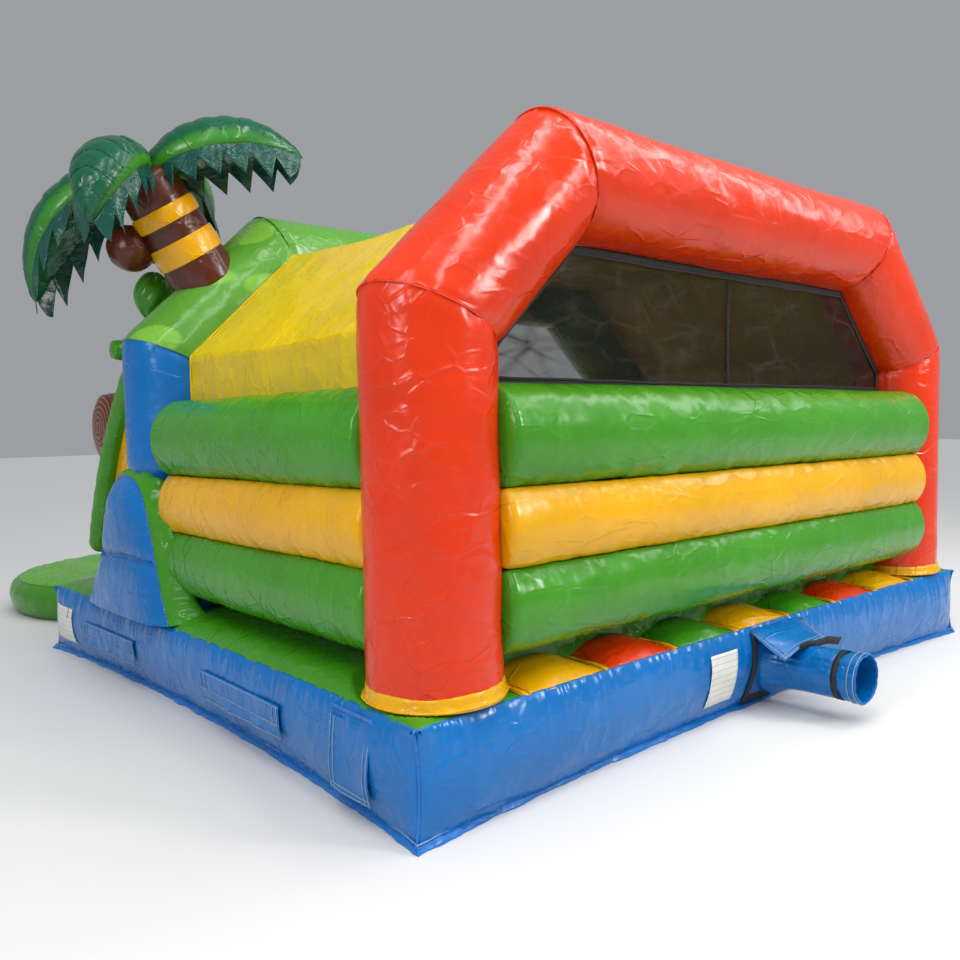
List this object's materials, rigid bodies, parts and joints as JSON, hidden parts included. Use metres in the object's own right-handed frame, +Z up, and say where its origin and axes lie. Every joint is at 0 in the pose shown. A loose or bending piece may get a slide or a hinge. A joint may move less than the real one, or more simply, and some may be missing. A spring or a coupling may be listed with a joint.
{
  "type": "inflatable bounce house",
  "caption": "Inflatable bounce house: tube walls, two arches, a sloped roof, a net window at the back, a slide to a round landing pad, and a palm tree.",
  "frame": {"origin": "centre of the inflated base on the ground", "axes": "+Z up; +Y to the back, where the inflation tube is; +X to the side with the palm tree and the slide"},
  "size_m": [5.4076, 7.645, 3.5083],
  "materials": {
    "pvc_blue": "gloss",
    "pvc_red": "gloss",
    "pvc_green": "gloss",
    "pvc_ochre": "gloss",
    "pvc_roof_yellow": "gloss",
    "pvc_leaf_print": "gloss",
    "pvc_palm": "gloss",
    "pvc_brown": "gloss",
    "net_black": "woven",
    "webbing_black": "woven",
    "baffle_cloth": "woven",
    "label_white": "gloss"
  },
  "bodies": {
    "house": {"groundsheet": "pvc_blue", "base_hem": "pvc_blue", "base_skirt": "pvc_blue", "floor_chamber_1": "pvc_green", "floor_chamber_2": "pvc_ochre", "floor_chamber_3": "pvc_red", "floor_chamber_4": "pvc_green", "floor_chamber_5": "pvc_ochre", "floor_chamber_6": "pvc_green", "floor_chamber_7": "pvc_red", "floor_chamber_8": "pvc_ochre", "floor_chamber_9": "pvc_green", "floor_baffles": "baffle_cloth", "floor_seam_bands": "pvc_ochre", "back_arch_post_right": "pvc_red", "back_arch_post_left": "pvc_red", "back_arch_slope_right": "pvc_red", "back_arch_slope_left": "pvc_red", "back_arch_top_bar": "pvc_red", "front_arch_post_right": "pvc_blue", "front_arch_post_left": "pvc_blue", "front_arch_slope_right": "pvc_leaf_print", "front_arch_slope_left": "pvc_leaf_print", "front_arch_top_bar": "pvc_leaf_print", "post_collars": "pvc_ochre", "wall_back_low": "pvc_green", "wall_back_middle": "pvc_ochre", "wall_back_top": "pvc_green", "wall_right_low": "pvc_green", "wall_right_middle": "pvc_ochre", "wall_right_top": "pvc_green", "wall_left_low": "pvc_green", "wall_left_middle": "pvc_ochre", "wall_left_top": "pvc_green", "roof_top": "pvc_roof_yellow", "roof_side_right": "pvc_roof_yellow", "roof_side_left": "pvc_roof_yellow", "window_mesh": "net_black", "window_binding": "webbing_black", "inflation_tube": "pvc_blue", "blower_velcro": "webbing_black", "side_patches": "pvc_blue", "blank_labels": "label_white", "buttresses": "pvc_blue", "landing_pad": "pvc_green", "slide_ramp": "pvc_ochre", "slide_rails": "pvc_blue", "log_beam": "pvc_brown", "log_pillars": "pvc_ochre", "front_wings": "pvc_ochre", "jungle_trim": "pvc_green", "palm_trunk": "pvc_brown", "palm_bands": "pvc_ochre", "palm_coconuts": "pvc_brown", "palm_leaf_1": "pvc_palm", "palm_leaf_2": "pvc_palm", "palm_leaf_3": "pvc_palm", "palm_leaf_4": "pvc_palm"},
    "blower_flap": {"blower_flap": "pvc_blue"},
    "corner_flap": {"corner_flap": "pvc_blue"}
  },
  "joints": [
    {"name": "blower_flap_hinge", "type": "hinge", "parent": "house", "child": "blower_flap", "pos_m": [-0.1, 2.178, 0.452], "axis": [1, 0, 0], "range_deg": [0, 95]},
    {"name": "corner_flap_hinge", "type": "hinge", "parent": "house", "child": "corner_flap", "pos_m": [2.491, 1.7875, 0.405], "axis": [0, -1, 0], "range_deg": [0, 120]}
  ]
}
